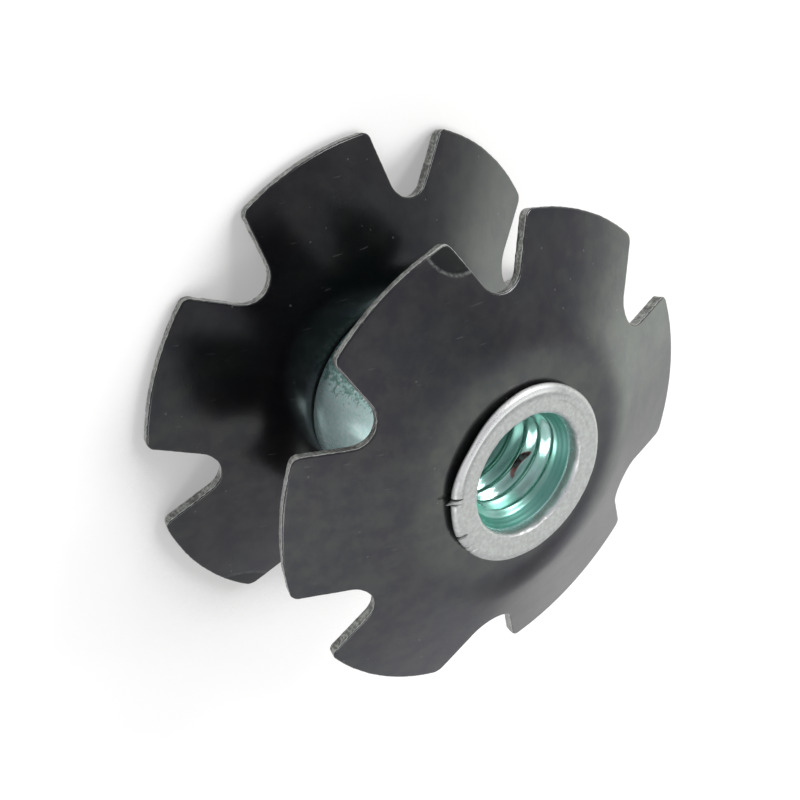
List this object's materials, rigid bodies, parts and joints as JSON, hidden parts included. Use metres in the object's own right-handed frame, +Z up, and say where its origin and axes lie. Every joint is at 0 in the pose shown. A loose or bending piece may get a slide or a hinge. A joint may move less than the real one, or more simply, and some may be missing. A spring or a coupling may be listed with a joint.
{
  "type": "star nut",
  "caption": "Headset star nut: dished, notched spring-steel star washers riveted onto a flared, internally threaded, zinc-plated sleeve.",
  "frame": {"origin": "centre of the circle on which the rear washer's six tab tips stand, on the thread's axis", "axes": "+Z up along the thread axis, towards the domed side of both washers; +X through the middle of a tab of the front washer"},
  "size_m": [0.026, 0.026, 0.0147],
  "materials": {
    "zinc_plated_steel": "satin zinc plating with a pale blue-green cast, rubbed grey on the flared lips",
    "black_spring_steel": "satin black oxide over spring steel, bare along the sheared edges"
  },
  "bodies": {
    "root": {"threaded_sleeve": "zinc_plated_steel", "front_star_washer": "black_spring_steel", "rear_star_washer": "black_spring_steel"}
  },
  "joints": []
}
